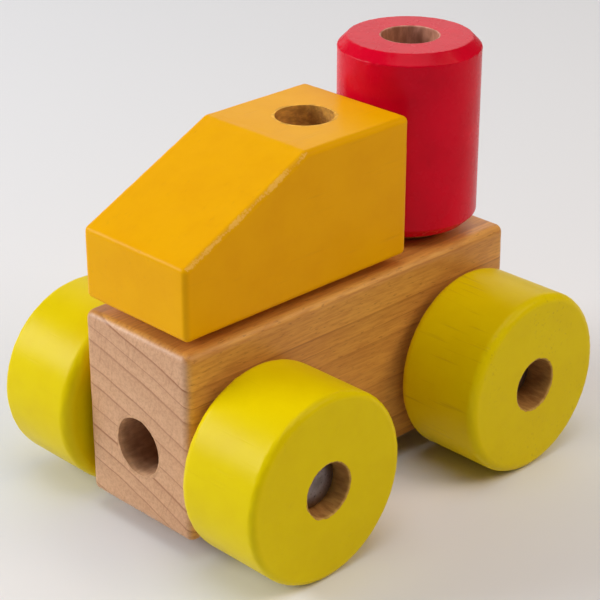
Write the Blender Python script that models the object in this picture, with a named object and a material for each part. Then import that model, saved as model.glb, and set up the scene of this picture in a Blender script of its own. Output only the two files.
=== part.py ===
"""A stacking toy road roller in beech: a chassis block on four wide wheels, with two pegs on its top
face that carry a sloped cab block and a round chimney block.

Frame: +Z up, the nose of the cab faces -Y, the axles lie along X, and the origin is on the ground
under the middle of the chassis. Left and right are the driver's, so left is +X.
"""

import math

import bmesh
import bpy

MM = 0.001

# Gaps
SEAT_GAP = 0.3 * MM  # between two pieces that touch on the real toy
PEG_CLEARANCE = 0.15 * MM  # radial, between a peg and the socket or bore that it fills
ROD_CLEARANCE = 0.1 * MM  # radial, between an axle rod and the chassis, washer or cap round it
WHEEL_CLEARANCE = 0.2 * MM  # radial, between an axle rod and the wheel that turns on it

# Axle rods
ROD_RADIUS = 2.5 * MM

# Wheels
WHEEL_RADIUS = 19.5 * MM
WHEEL_WIDTH = 20.2 * MM
WHEEL_EDGE = 2.1 * MM  # radius of the rounded rim, inside and outside
RECESS_RADIUS = 5.5 * MM  # blind hole in the outer face, where the cap sits
FRONT_RECESS_DEPTH = 5.6 * MM  # the front caps sit nearer to the face of the wheel
REAR_RECESS_DEPTH = 7.6 * MM

# Push-on caps on the rod ends
CAP_CLEARANCE = 0.3 * MM  # radial, between a cap and the wall of the recess
CAP_SKIRT = 0.9 * MM
CAP_RISE = 1.6 * MM  # height of the dome above the skirt
CAP_WALL = 0.6 * MM

# Washers between the chassis and the wheels
WASHER_RADIUS = 6.0 * MM
WASHER_THICKNESS = 1.2 * MM

# Chassis block
CHASSIS_WIDTH = 30.0 * MM
CHASSIS_LENGTH = 90.0 * MM
CHASSIS_HEIGHT = 40.0 * MM
CHASSIS_EDGE = 1.8 * MM
AXLE_SETBACK = 15.0 * MM  # from each end of the chassis to the axle
AXLE_RISE = 15.3 * MM  # from the underside of the chassis to the axles

# Sockets and pegs
SOCKET_RADIUS = 5.9 * MM  # every socket and every bore that takes a peg
FRONT_SOCKET_RISE = 15.5 * MM  # from the underside of the chassis
FRONT_SOCKET_WALL = 1.4 * MM  # wood left between the front socket and the axle bore
TOP_SOCKET_FLOOR = 6.1 * MM  # wood left between a top socket and the height of the axle bores
SOCKET_SPARE = 1.0 * MM  # free depth under a peg
PEG_STUB = 15.0 * MM  # length of a peg above its collar
PEG_CHAMFER = 1.0 * MM
COLLAR_LEDGE = 3.1 * MM  # how far a collar stands out past the socket
COLLAR_THICKNESS = 1.8 * MM

# Chimney block
CHIMNEY_RADIUS = 14.8 * MM
CHIMNEY_HEIGHT = 39.3 * MM
CHIMNEY_CHAMFER = 2.0 * MM
CHIMNEY_SETBACK = 15.0 * MM  # from the rear end of the chassis to its peg

# Cab block
CAB_WIDTH = 29.2 * MM
CAB_LENGTH = 59.0 * MM
CAB_HEIGHT = 29.5 * MM
CAB_NOSE = 14.7 * MM  # height of the vertical front face
CAB_ROOF = 28.0 * MM  # length of the flat roof, measured from the rear face
CAB_EDGE = 1.3 * MM
CAB_BORE_SETBACK = 14.5 * MM  # from the rear face of the cab to its bore
CAB_TO_CHIMNEY = 0.7 * MM

# How finely round shapes are made, and how far a cutter stands out of the hole it makes
WHEEL_STEPS = 48
BLOCK_BORE_STEPS = 32
SMALL_STEPS = 24
EDGE_STEPS = 3
SMOOTH_UP_TO = math.radians(30)
CUT_OVERRUN = 1.0 * MM

# Places that follow from the sizes above
AXLE_HEIGHT = WHEEL_RADIUS
CHASSIS_BOTTOM = AXLE_HEIGHT - AXLE_RISE
CHASSIS_TOP = CHASSIS_BOTTOM + CHASSIS_HEIGHT
CHASSIS_FRONT = -CHASSIS_LENGTH / 2
AXLE_Y = CHASSIS_LENGTH / 2 - AXLE_SETBACK
AXLE_BORE_RADIUS = ROD_RADIUS + ROD_CLEARANCE
WASHER_INNER = CHASSIS_WIDTH / 2 + SEAT_GAP
WHEEL_INNER = WASHER_INNER + WASHER_THICKNESS + SEAT_GAP
CAP_RADIUS = RECESS_RADIUS - CAP_CLEARANCE
CAP_SLEEVE_DEPTH = CAP_SKIRT + CAP_RISE - CAP_WALL - ROD_CLEARANCE
FRONT_SOCKET_DEPTH = AXLE_SETBACK - AXLE_BORE_RADIUS - FRONT_SOCKET_WALL
TOP_SOCKET_DEPTH = CHASSIS_HEIGHT - AXLE_RISE - AXLE_BORE_RADIUS - TOP_SOCKET_FLOOR
PEG_RADIUS = SOCKET_RADIUS - PEG_CLEARANCE
COLLAR_RADIUS = SOCKET_RADIUS + COLLAR_LEDGE
COLLAR_BOTTOM = CHASSIS_TOP + SEAT_GAP
BLOCK_BOTTOM = COLLAR_BOTTOM + COLLAR_THICKNESS + SEAT_GAP
CHIMNEY_Y = CHASSIS_LENGTH / 2 - CHIMNEY_SETBACK
CAB_Y = CHIMNEY_Y - CHIMNEY_RADIUS - CAB_TO_CHIMNEY - CAB_BORE_SETBACK


def clear_scene():
    for obj in list(bpy.data.objects):
        bpy.data.objects.remove(obj, do_unlink=True)


def material(name, colour, roughness, metallic=0.0):
    made = bpy.data.materials.new(name)
    made.use_nodes = True
    shader = made.node_tree.nodes["Principled BSDF"]
    shader.inputs["Base Color"].default_value = (*colour, 1.0)
    shader.inputs["Roughness"].default_value = roughness
    shader.inputs["Metallic"].default_value = metallic
    made.diffuse_color = (*colour, 1.0)
    return made


def finished_mesh(bm, name):
    """Turns a bmesh into a mesh with its faces pointing out and its round faces shaded smooth."""
    bmesh.ops.recalc_face_normals(bm, faces=bm.faces)
    mesh = bpy.data.meshes.new(name)
    bm.to_mesh(mesh)
    bm.free()
    mesh.shade_smooth()
    mesh.set_sharp_from_angle(angle=SMOOTH_UP_TO)
    return mesh


def arc(centre, radius, start, end, steps=EDGE_STEPS):
    """Points of a quarter-round in an outline of (radius, height) points, angles in degrees."""
    turn = [math.radians(start + (end - start) * i / steps) for i in range(steps + 1)]
    return [(centre[0] + radius * math.cos(t), centre[1] + radius * math.sin(t)) for t in turn]


def turned_mesh(name, outline, steps):
    """Turns an outline of (radius, height) points round +Z. An outline that starts and ends on the
    axis is closed there by two poles; any other outline is a ring and is joined end to start.
    """
    bm = bmesh.new()
    rings = []
    for radius, height in outline:
        if radius == 0.0:
            rings.append([bm.verts.new((0.0, 0.0, height))])
            continue
        turn = [2 * math.pi * i / steps for i in range(steps)]
        rings.append([bm.verts.new((radius * math.cos(t), radius * math.sin(t), height)) for t in turn])
    pairs = list(zip(rings, rings[1:]))
    if len(rings[0]) > 1:
        pairs.append((rings[-1], rings[0]))
    for lower, upper in pairs:
        for i in range(steps):
            j = (i + 1) % steps
            a, b = lower[i % len(lower)], lower[j % len(lower)]
            c, d = upper[j % len(upper)], upper[i % len(upper)]
            bm.faces.new(dict.fromkeys((a, b, c, d)))  # a pole is named once
    return finished_mesh(bm, name)


def place(name, mesh, finish, location, parent=None, rotation=(0.0, 0.0, 0.0)):
    """Adds an object for a mesh, with its location given in its parent's frame."""
    obj = bpy.data.objects.new(name, mesh)
    bpy.context.scene.collection.objects.link(obj)
    if finish is not None and finish.name not in [slot.name for slot in mesh.materials if slot]:
        mesh.materials.append(finish)
    obj.parent = parent
    obj.location = location
    obj.rotation_euler = rotation
    return obj


def drill(obj, name, radius, mouth, direction, depth, steps):
    """Cuts a round hole that starts just outside its mouth and runs depth along direction."""
    outline = [(0.0, -CUT_OVERRUN), (radius, -CUT_OVERRUN), (radius, depth), (0.0, depth)]
    turns = {"+X": (0.0, math.pi / 2, 0.0), "+Y": (-math.pi / 2, 0.0, 0.0), "-Z": (math.pi, 0.0, 0.0)}
    cutter = place(name, turned_mesh(name, outline, steps), None, mouth, obj, turns[direction])
    cutter.hide_render = True
    cutter.display_type = "WIRE"
    cut = obj.modifiers.new(name, "BOOLEAN")
    cut.operation = "DIFFERENCE"
    cut.solver = "EXACT"
    cut.object = cutter


def round_edges(obj, radius):
    bevel = obj.modifiers.new("rounded_edges", "BEVEL")
    bevel.width = radius
    bevel.segments = EDGE_STEPS
    bevel.limit_method = "NONE"


def prism_mesh(name, outline, width):
    """Extrudes a side outline of (y, z) points along X, half of the width to each side."""
    bm = bmesh.new()
    sides = []
    for x in (-width / 2, width / 2):
        sides.append([bm.verts.new((x, y, z)) for y, z in outline])
        bm.faces.new(sides[-1])
    for i in range(len(outline)):
        j = (i + 1) % len(outline)
        bm.faces.new((sides[0][i], sides[0][j], sides[1][j], sides[1][i]))
    return finished_mesh(bm, name)


def make_chassis(toy, beech):
    """The chassis block: beech, rounded edges, two cross bores, a front socket and two top sockets."""
    half = CHASSIS_LENGTH / 2
    outline = [(-half, 0.0), (half, 0.0), (half, CHASSIS_HEIGHT), (-half, CHASSIS_HEIGHT)]
    mesh = prism_mesh("chassis_block", outline, CHASSIS_WIDTH)
    chassis = place("chassis_block", mesh, beech, (0.0, 0.0, CHASSIS_BOTTOM), toy)
    round_edges(chassis, CHASSIS_EDGE)
    for end, y in (("front", -AXLE_Y), ("rear", AXLE_Y)):
        mouth = (-CHASSIS_WIDTH / 2, y, AXLE_RISE)
        through = CHASSIS_WIDTH + CUT_OVERRUN
        drill(chassis, f"{end}_axle_bore_cut", AXLE_BORE_RADIUS, mouth, "+X", through, SMALL_STEPS)
    mouth = (0.0, CHASSIS_FRONT, FRONT_SOCKET_RISE)
    drill(chassis, "front_socket_cut", SOCKET_RADIUS, mouth, "+Y", FRONT_SOCKET_DEPTH, BLOCK_BORE_STEPS)
    for block, y in (("cab", CAB_Y), ("chimney", CHIMNEY_Y)):
        mouth = (0.0, y, CHASSIS_HEIGHT)
        drill(chassis, f"{block}_socket_cut", SOCKET_RADIUS, mouth, "-Z", TOP_SOCKET_DEPTH, BLOCK_BORE_STEPS)


def wheel_outline(floor):
    """Half section of a wheel, from its inner face at height 0 to its outer face. The floor of the
    recess is at the height given.
    """
    bore = ROD_RADIUS + WHEEL_CLEARANCE
    rim = WHEEL_RADIUS - WHEEL_EDGE
    inner_edge = arc((rim, WHEEL_EDGE), WHEEL_EDGE, -90, 0)
    outer_edge = arc((rim, WHEEL_WIDTH - WHEEL_EDGE), WHEEL_EDGE, 0, 90)
    recess = [(RECESS_RADIUS, WHEEL_WIDTH), (RECESS_RADIUS, floor), (bore, floor)]
    return [(bore, 0.0), *inner_edge, *outer_edge, *recess]


def cap_outline():
    """Half section of a push-on cap: a domed shell with a sleeve inside it that grips the rod.
    The rim is at height 0, and the dome is a quarter of an ellipse above the skirt.
    """
    sleeve_inner = ROD_RADIUS + ROD_CLEARANCE
    sleeve_outer = sleeve_inner + CAP_WALL
    shell_inner = CAP_RADIUS - CAP_WALL
    turn = [math.radians(90 * i / EDGE_STEPS) for i in range(EDGE_STEPS + 1)]
    dome = [(CAP_RADIUS * math.cos(t), CAP_SKIRT + CAP_RISE * math.sin(t)) for t in turn[:-1]]
    crown = (0.0, CAP_SKIRT + CAP_RISE)
    join = CAP_SKIRT + (CAP_RISE - CAP_WALL) * math.sqrt(1 - (sleeve_outer / shell_inner) ** 2)
    inside = [
        (0.0, CAP_SLEEVE_DEPTH),
        (sleeve_inner, CAP_SLEEVE_DEPTH),
        (sleeve_inner, 0.0),
        (sleeve_outer, 0.0),
        (sleeve_outer, join),
        (shell_inner, CAP_SKIRT),
        (shell_inner, 0.0),
    ]
    return [*inside, (CAP_RADIUS, 0.0), *dome, crown]


def make_running_gear(toy, steel, plated, yellow):
    """Two steel rods, and on each end of a rod a washer, a wheel that turns and a push-on cap."""
    cap_mesh = turned_mesh("cap", cap_outline(), SMALL_STEPS)
    washer_bore = ROD_RADIUS + ROD_CLEARANCE
    washer_outline = [
        (washer_bore, 0.0),
        (WASHER_RADIUS, 0.0),
        (WASHER_RADIUS, WASHER_THICKNESS),
        (washer_bore, WASHER_THICKNESS),
    ]
    washer_mesh = turned_mesh("washer", washer_outline, SMALL_STEPS)
    for end, y, recess in (("front", -AXLE_Y, FRONT_RECESS_DEPTH), ("rear", AXLE_Y, REAR_RECESS_DEPTH)):
        wheel_mesh = turned_mesh(f"{end}_wheel", wheel_outline(WHEEL_WIDTH - recess), WHEEL_STEPS)
        cap_inner = WHEEL_INNER + WHEEL_WIDTH - recess + SEAT_GAP
        tip = cap_inner + CAP_SLEEVE_DEPTH - SEAT_GAP
        rod_outline = [(0.0, -tip), (ROD_RADIUS, -tip), (ROD_RADIUS, tip), (0.0, tip)]
        rod_mesh = turned_mesh(f"{end}_axle", rod_outline, SMALL_STEPS)
        # The rod is turned so that its own +Z points along the toy's +X.
        axle = place(f"{end}_axle", rod_mesh, steel, (0.0, y, AXLE_HEIGHT), toy, (0.0, math.pi / 2, 0.0))
        for side, sign, turn in (("left", 1.0, 0.0), ("right", -1.0, math.pi)):
            facing = (turn, 0.0, 0.0)
            place(f"{end}_{side}_washer", washer_mesh, steel, (0.0, 0.0, sign * WASHER_INNER), axle, facing)
            place(f"{end}_{side}_wheel", wheel_mesh, yellow, (0.0, 0.0, sign * WHEEL_INNER), axle, facing)
            place(f"{end}_{side}_cap", cap_mesh, plated, (0.0, 0.0, sign * cap_inner), axle, facing)


def peg_outline():
    """Half section of a peg: a stub, a collar and a stub, with the collar's underside at height 0."""
    foot = SOCKET_SPARE - TOP_SOCKET_DEPTH - SEAT_GAP
    head = COLLAR_THICKNESS + SEAT_GAP + PEG_STUB
    tip = PEG_RADIUS - PEG_CHAMFER
    return [
        (0.0, foot),
        (tip, foot),
        (PEG_RADIUS, foot + PEG_CHAMFER),
        (PEG_RADIUS, 0.0),
        (COLLAR_RADIUS, 0.0),
        (COLLAR_RADIUS, COLLAR_THICKNESS),
        (PEG_RADIUS, COLLAR_THICKNESS),
        (PEG_RADIUS, head - PEG_CHAMFER),
        (tip, head),
        (0.0, head),
    ]


def make_cab(toy, beech, orange):
    """The cab block on its peg: a wedge-fronted block with a bore through its roof."""
    mesh = turned_mesh("cab_peg", peg_outline(), BLOCK_BORE_STEPS)
    peg = place("cab_peg", mesh, beech, (0.0, CAB_Y, COLLAR_BOTTOM), toy)
    tail = CAB_BORE_SETBACK
    front = tail - CAB_LENGTH
    roof_front = tail - CAB_ROOF
    outline = [(front, 0.0), (tail, 0.0), (tail, CAB_HEIGHT), (roof_front, CAB_HEIGHT), (front, CAB_NOSE)]
    mesh = prism_mesh("cab_block", outline, CAB_WIDTH)
    cab = place("cab_block", mesh, orange, (0.0, 0.0, BLOCK_BOTTOM - COLLAR_BOTTOM), peg)
    round_edges(cab, CAB_EDGE)
    depth = CAB_HEIGHT + CUT_OVERRUN
    drill(cab, "cab_bore_cut", SOCKET_RADIUS, (0.0, 0.0, CAB_HEIGHT), "-Z", depth, BLOCK_BORE_STEPS)


def make_chimney(toy, beech, red):
    """The chimney block on its peg: a turned cylinder with a bore through it and chamfered ends."""
    mesh = turned_mesh("chimney_peg", peg_outline(), BLOCK_BORE_STEPS)
    peg = place("chimney_peg", mesh, beech, (0.0, CHIMNEY_Y, COLLAR_BOTTOM), toy)
    face = CHIMNEY_RADIUS - CHIMNEY_CHAMFER
    outline = [
        (SOCKET_RADIUS, 0.0),
        (face, 0.0),
        (CHIMNEY_RADIUS, CHIMNEY_CHAMFER),
        (CHIMNEY_RADIUS, CHIMNEY_HEIGHT - CHIMNEY_CHAMFER),
        (face, CHIMNEY_HEIGHT),
        (SOCKET_RADIUS, CHIMNEY_HEIGHT),
    ]
    mesh = turned_mesh("chimney_block", outline, WHEEL_STEPS)
    place("chimney_block", mesh, red, (0.0, 0.0, BLOCK_BOTTOM - COLLAR_BOTTOM), peg)


clear_scene()
road_roller = bpy.data.objects.new("road_roller", None)
bpy.context.scene.collection.objects.link(road_roller)
beech_wood = material("beech", (0.60, 0.37, 0.20), 0.5)
orange_paint = material("orange_paint", (0.84, 0.42, 0.01), 0.4)
red_paint = material("red_paint", (0.58, 0.005, 0.02), 0.3)
yellow_paint = material("yellow_paint", (0.58, 0.45, 0.005), 0.4)
bright_steel = material("bright_steel", (0.55, 0.55, 0.54), 0.35, 1.0)
plated_steel = material("plated_steel", (0.34, 0.31, 0.29), 0.4, 1.0)
make_chassis(road_roller, beech_wood)
make_running_gear(road_roller, bright_steel, plated_steel, yellow_paint)
make_cab(road_roller, beech_wood, orange_paint)
make_chimney(road_roller, beech_wood, red_paint)
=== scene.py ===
"""The looks of a stacking toy road roller: a varnished beech chassis block on four painted wheels,
with a sloped orange cab block and a round red chimney block standing on wooden pegs.

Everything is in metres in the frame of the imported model: +Z up, the cab's nose faces -Y, and left
is the driver's left, +X. The file follows the toy as it is put together.
"""

import math

import bpy
import numpy as np
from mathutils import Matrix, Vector


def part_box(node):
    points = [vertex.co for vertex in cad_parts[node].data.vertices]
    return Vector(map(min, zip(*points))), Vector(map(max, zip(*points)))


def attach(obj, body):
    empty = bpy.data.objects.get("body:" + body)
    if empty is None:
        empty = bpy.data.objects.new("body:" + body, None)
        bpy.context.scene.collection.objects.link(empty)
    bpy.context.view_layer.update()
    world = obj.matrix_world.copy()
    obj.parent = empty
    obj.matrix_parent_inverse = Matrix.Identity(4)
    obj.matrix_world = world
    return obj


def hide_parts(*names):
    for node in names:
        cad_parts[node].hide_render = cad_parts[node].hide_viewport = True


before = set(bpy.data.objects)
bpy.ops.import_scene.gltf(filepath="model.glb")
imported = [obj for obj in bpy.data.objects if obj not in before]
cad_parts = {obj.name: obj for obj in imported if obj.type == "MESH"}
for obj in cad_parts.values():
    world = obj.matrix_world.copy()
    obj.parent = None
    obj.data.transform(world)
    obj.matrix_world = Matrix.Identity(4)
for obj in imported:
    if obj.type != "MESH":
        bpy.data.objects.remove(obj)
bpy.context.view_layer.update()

MM = 0.001


# ---------------------------------------------------------------------------------------------
# The stage. A pale table, a large soft box low on the toy's front right, one almost overhead, a warm
# one high at the rear left for the side faces, one low at the rear right that gives the top faces
# their sheen, and a dim even room. The camera has a long lens.
# ---------------------------------------------------------------------------------------------
def bearing(azimuth, elevation):
    """Unit vector towards an azimuth, from -Y round towards +X, and an elevation, in degrees."""
    turn, rise = math.radians(azimuth), math.radians(elevation)
    flat = math.cos(rise)
    return Vector((math.sin(turn) * flat, -math.cos(turn) * flat, math.sin(rise)))


def put_up(name, data, place, target):
    """Adds a lamp or a camera at a place, looking at a target."""
    made = bpy.data.objects.new(name, data)
    bpy.context.scene.collection.objects.link(made)
    made.location = place
    made.rotation_euler = (target - place).to_track_quat("-Z", "Y").to_euler()
    return made


def soft_box(name, azimuth, elevation, distance, width, height, watts, colour=(1, 1, 1)):
    """A rectangular lamp at a bearing and a distance from the point looked at, turned towards it."""
    lamp = bpy.data.lights.new(name, "AREA")
    lamp.shape = "RECTANGLE"
    lamp.size = width
    lamp.size_y = height
    lamp.energy = watts
    lamp.color = colour
    put_up(name, lamp, LOOK_AT + bearing(azimuth, elevation) * distance, LOOK_AT)


LOOK_AT = Vector((-5.24, 3.88, 33.15)) * MM
CAMERA_AZIMUTH = 45.55
CAMERA_ELEVATION = 25.29
CAMERA_DISTANCE = 0.399
camera = bpy.data.cameras.new("camera")
camera.sensor_width = 36.0
camera.lens = 115.2
camera.clip_start = 0.01
camera_place = LOOK_AT + bearing(CAMERA_AZIMUTH, CAMERA_ELEVATION) * CAMERA_DISTANCE
bpy.context.scene.camera = put_up("camera", camera, camera_place, LOOK_AT)

soft_box("key_box", -48, 24, 1.0, 0.62, 0.34, 7.8)
soft_box("top_box", 60, 77, 1.1, 0.8, 0.8, 4.9)
soft_box("side_box", 120, 40, 1.0, 0.5, 0.5, 3.5, (1.0, 0.78, 0.56))
soft_box("back_box", -134, 26, 1.3, 1.5, 0.9, 4.2)

room = bpy.data.worlds.new("dim_room")
room.use_nodes = True
room.node_tree.nodes["Background"].inputs["Color"].default_value = (0.08, 0.08, 0.081, 1.0)
bpy.context.scene.world = room
bpy.context.scene.view_settings.view_transform = "Standard"

TABLE_REACH = 6.0
table_mesh = bpy.data.meshes.new("table")
corner = np.array([(-1, -1, 0), (1, -1, 0), (1, 1, 0), (-1, 1, 0)]) * TABLE_REACH
table_mesh.from_pydata(corner.tolist(), [], [(0, 1, 2, 3)])
table = bpy.data.objects.new("table", table_mesh)
bpy.context.scene.collection.objects.link(table)
table_finish = bpy.data.materials.new("pale_table")
table_finish.use_nodes = True
table_shader = table_finish.node_tree.nodes["Principled BSDF"]
table_shader.inputs["Base Color"].default_value = (0.80, 0.815, 0.85, 1.0)
table_shader.inputs["Roughness"].default_value = 0.9
table_shader.inputs["Specular IOR Level"].default_value = 0.1
table_mesh.materials.append(table_finish)


# ---------------------------------------------------------------------------------------------
# The chassis block. A length of beech, sawn, sanded round on every edge and given a clear satin
# varnish. It is drilled across for two axle rods, in front for one peg and on top for two.
# ---------------------------------------------------------------------------------------------
def span(node):
    """The CAD box of a node as two arrays, its lowest and its highest corner."""
    low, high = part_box(node)
    return np.array(low), np.array(high)


def wavy(points, length, seed):
    """Smooth unevenness, about -1 to 1, at each point: a scaled sum of sixteen sine waves that run
    in seeded directions, with seeded phases and with lengths around the given one."""
    draw = np.random.default_rng(seed)
    facing = draw.normal(size=(3, 16))
    facing /= np.linalg.norm(facing, axis=0)
    waves = facing * 2 * np.pi / (length * draw.uniform(0.6, 1.6, 16))
    return np.sin(points @ waves + draw.uniform(0, 2 * np.pi, 16)).sum(axis=-1) / 4


def rounded(corners, radii, step, arc_step, closed=True):
    """Walks an outline whose corners are rounded, and gives its points and right-hand normals.

    A corner is cut back on both sides by its radius times the tangent of half its turn. Between
    the cuts runs an arc in even angles, and between two arcs a straight run in steps that shorten
    towards its ends. The ends of an open outline stay as they are.
    """
    corners = np.asarray(corners, float)
    last = len(corners) - 1
    points, normals, before = [], [], None
    for k, here in enumerate(corners):
        into = here - corners[k - 1]
        out = corners[(k + 1) % len(corners)] - here
        if not closed and k in (0, last):
            into = out = out if k == 0 else into
        into, out = into / np.linalg.norm(into), out / np.linalg.norm(out)
        turn = math.atan2(into[0] * out[1] - into[1] * out[0], into @ out)
        radius = radii[k] if abs(turn) > 1e-6 else 0.0
        steps = max(3, math.ceil(radius * abs(turn) / arc_step)) if radius else 0
        angle = np.linspace(0, turn, steps + 1)
        cos, sin = np.cos(angle), np.sin(angle)
        side = np.array([into[1], -into[0]])
        normal = np.stack([cos * side[0] - sin * side[1], sin * side[0] + cos * side[1]], axis=1)
        reach = math.copysign(radius, turn)
        centre = here - into * radius * math.tan(abs(turn) / 2) - side * reach
        arc = centre + normal * reach
        if before is not None:
            points.append(run(before, arc[0], step))
            normals.append(np.repeat(side[None], len(points[-1]), axis=0))
        points.append(arc)
        normals.append(normal)
        before = arc[-1]
    if closed:
        points.append(run(before, points[0][0], step))
        normals.append(np.repeat(normals[0][:1], len(points[-1]), axis=0))
    return np.concatenate(points), np.concatenate(normals)


def eased(steps, pull=0.75):
    """Shares from 0 to 1 whose steps shorten to 1 - pull of the mean at both ends: an even share u
    less pull times sin(2 pi u) / 2 pi."""
    even = np.linspace(0, 1, steps + 1)
    return even - pull * np.sin(2 * np.pi * even) / (2 * np.pi)


def run(start, end, step):
    """The points between start and end, without those two."""
    steps = max(1, math.ceil(np.linalg.norm(end - start) / step))
    return start + eased(steps)[1:-1, None] * (end - start)


def skin(points, ring=False):
    """Vertices and faces of a closed surface from a grid of points, rows by columns. The columns go
    round the piece. The last row of a ring meets its first; otherwise the first and the last row
    are each one point, which closes the surface. The faces are turned to point outwards."""
    rows, columns = points.shape[:2]
    if ring:
        number = np.arange(rows * columns).reshape(rows, columns)
        number = np.concatenate([number, number[:1]])
        vertices = points.reshape(-1, 3)
    else:
        inner = np.arange(1, 1 + (rows - 2) * columns).reshape(rows - 2, columns)
        end = np.full((1, columns), inner[-1, -1] + 1)
        number = np.concatenate([np.zeros((1, columns), int), inner, end])
        vertices = np.concatenate([points[:1, 0], points[1:-1].reshape(-1, 3), points[-1:, 0]])
    onward = np.roll(number, -1, axis=1)
    quads = np.stack([number[:-1], onward[:-1], onward[1:], number[1:]], axis=-1).reshape(-1, 4)
    a, b, c, d = (vertices[quads[:, k]] for k in range(4))
    volume = (a * (np.cross(b, c) + np.cross(c, d))).sum()
    if volume < 0:
        quads = quads[:, ::-1]
    whole = np.array([len(set(quad)) == 4 for quad in quads.tolist()])
    corners_left = [list(dict.fromkeys(quad)) for quad in quads[~whole].tolist()]
    return vertices, quads[whole].tolist() + corners_left


def piece(name, *skins):
    """One object, at the origin, from the vertices and faces of one or more surfaces."""
    count, vertices, faces = 0, [], []
    for points, sides in skins:
        vertices.append(points)
        faces += [[count + i for i in side] for side in sides]
        count += len(points)
    mesh = bpy.data.meshes.new(name)
    mesh.from_pydata(np.concatenate(vertices).tolist(), [], faces)
    mesh.shade_smooth()
    made = bpy.data.objects.new(name, mesh)
    bpy.context.scene.collection.objects.link(made)
    return made


def turned(profile, turns, centre, axis):
    """Carries a profile round an axis: row i, column j is the centre, plus the profile's first value
    along the axis, plus its second value outwards at angle j. The axis is 0 for X, 1 for Y, 2 for Z."""
    along, first, second = np.roll(np.eye(3), -axis, axis=0)
    angle = np.linspace(0, 2 * np.pi, turns, endpoint=False)
    out = np.cos(angle)[:, None] * first + np.sin(angle)[:, None] * second
    return np.asarray(centre) + profile[:, :1, None] * along + profile[:, 1:, None] * out


def outwards(points, centre, axis):
    """Unit vectors away from an axis through a centre, at each point."""
    away = points - np.asarray(centre)
    away[..., axis] = 0
    return away / np.maximum(np.linalg.norm(away, axis=-1, keepdims=True), 1e-9)


def block(corners, low, high, edge):
    """The surface of a block, as points and outward normals: an outline in Y and Z, from X low to X
    high, with every edge rounded.

    Rows start at the middle of one side face, go out to its rim, over a quarter round, across the
    width, and back the same way. Columns go round the outline. On the quarter round the point is
    the outline's inset core, plus edge times the sine of the sweep outwards, and sideways by edge
    times one minus its cosine.
    """
    path, facing = rounded(corners, [edge] * len(corners), 0.7 * MM, 0.25 * MM)
    core = path - edge * facing
    middle = core.mean(axis=0)
    share = 1 - (1 - np.linspace(0, 1, 26)) ** 1.5
    sweep = np.linspace(0, np.pi / 2, 8)[1:]
    across = eased(math.ceil((high - low) / (0.6 * MM)))[1:-1]
    level = np.ones(len(across))
    side_x = np.concatenate([np.zeros(len(share)), edge * (1 - np.cos(sweep))])
    top_x = low + edge + across * (high - low - 2 * edge)
    x = np.concatenate([low + side_x, top_x, high - side_x[::-1]])
    spread = np.concatenate([share, np.ones(len(sweep)), level, np.ones(len(sweep)), share[::-1]])
    stand = np.concatenate([0 * share, np.sin(sweep), level, np.sin(sweep)[::-1], 0 * share])
    side = np.concatenate([0 * share - 1, -np.cos(sweep), 0 * level, np.cos(sweep)[::-1], 0 * share + 1])
    flat = middle + spread[:, None, None] * (core - middle) + edge * stand[:, None, None] * facing
    points = np.concatenate([np.broadcast_to(x[:, None, None], (*flat.shape[:2], 1)), flat], axis=2)
    normal = stand[:, None, None] * facing
    normal = np.concatenate([np.broadcast_to(side[:, None, None], (*flat.shape[:2], 1)), normal], axis=2)
    return points, normal


def faces_of(corners, low, high):
    """The planes of a block, as outward normals and their distances from the origin: each edge of
    the outline turned clockwise by a quarter turn, then X high and X low."""
    corners = np.asarray(corners, float)
    ahead = np.roll(corners, -1, axis=0) - corners
    ahead /= np.linalg.norm(ahead, axis=1)[:, None]
    normals = np.stack([0 * ahead[:, 0], ahead[:, 1], -ahead[:, 0]], axis=1)
    reach = (normals[:, 1:] * corners).sum(axis=1)
    return np.concatenate([normals, [(1, 0, 0), (-1, 0, 0)]]), np.concatenate([reach, [high, -low]])


def edge_gap(points, planes):
    """How far points on a block are from its sharp edges: the sum of the two smallest depths under
    its planes."""
    normals, reach = planes
    depth = np.sort(np.maximum(reach - points @ normals.T, 0), axis=-1)
    return depth[..., 0] + depth[..., 1]


def hole(mouth, axis, inward, radius, depth, seed, flare=0.3 * MM):
    """A cutter for one drilled hole: a turned plug from just outside the mouth to a flat floor, along
    an axis in the inward direction, 1 or -1. The wall has faint tool marks, and the mouth opens by
    the flare, unevenly, where the fibres tore."""
    profile, _ = rounded(
        [(-2 * MM, 0), (-2 * MM, radius), (depth, radius), (depth, 0)],
        [0, 0.3 * MM, 0.4 * MM, 0],
        0.5 * MM,
        0.15 * MM,
        closed=False,
    )
    points = turned(profile * (inward, 1), 96, mouth, axis)
    wall = (profile[:, 1] > radius / 2)[:, None]
    near = np.exp(-np.abs(profile[:, 0]) / (0.5 * MM))[:, None] * wall
    torn = 0.8 + 0.3 * wavy(points, 2.2 * MM, seed) + 0.2 * wavy(points, 0.9 * MM, seed + 1)
    marks = 0.012 * MM * wavy(points, 1.5 * MM, seed + 2) * wall
    grow = flare * near * np.clip(torn, 0, 1.4) + marks
    return skin(points + grow[..., None] * outwards(points, mouth, axis))


def drilled(blank, *holes):
    """Takes the holes out of a blank and keeps the result as its mesh."""
    cutter = piece("drill", *holes)
    cut = blank.modifiers.new("drill", "BOOLEAN")
    cut.object = cutter
    cut.operation = "DIFFERENCE"
    cut.solver = "EXACT"
    graph = bpy.context.evaluated_depsgraph_get()
    made = bpy.data.meshes.new_from_object(blank.evaluated_get(graph))
    blank.modifiers.clear()
    blank.data = made
    made.shade_smooth()
    made.set_sharp_from_angle(angle=math.radians(35))
    bpy.data.objects.remove(cutter, do_unlink=True)


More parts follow.
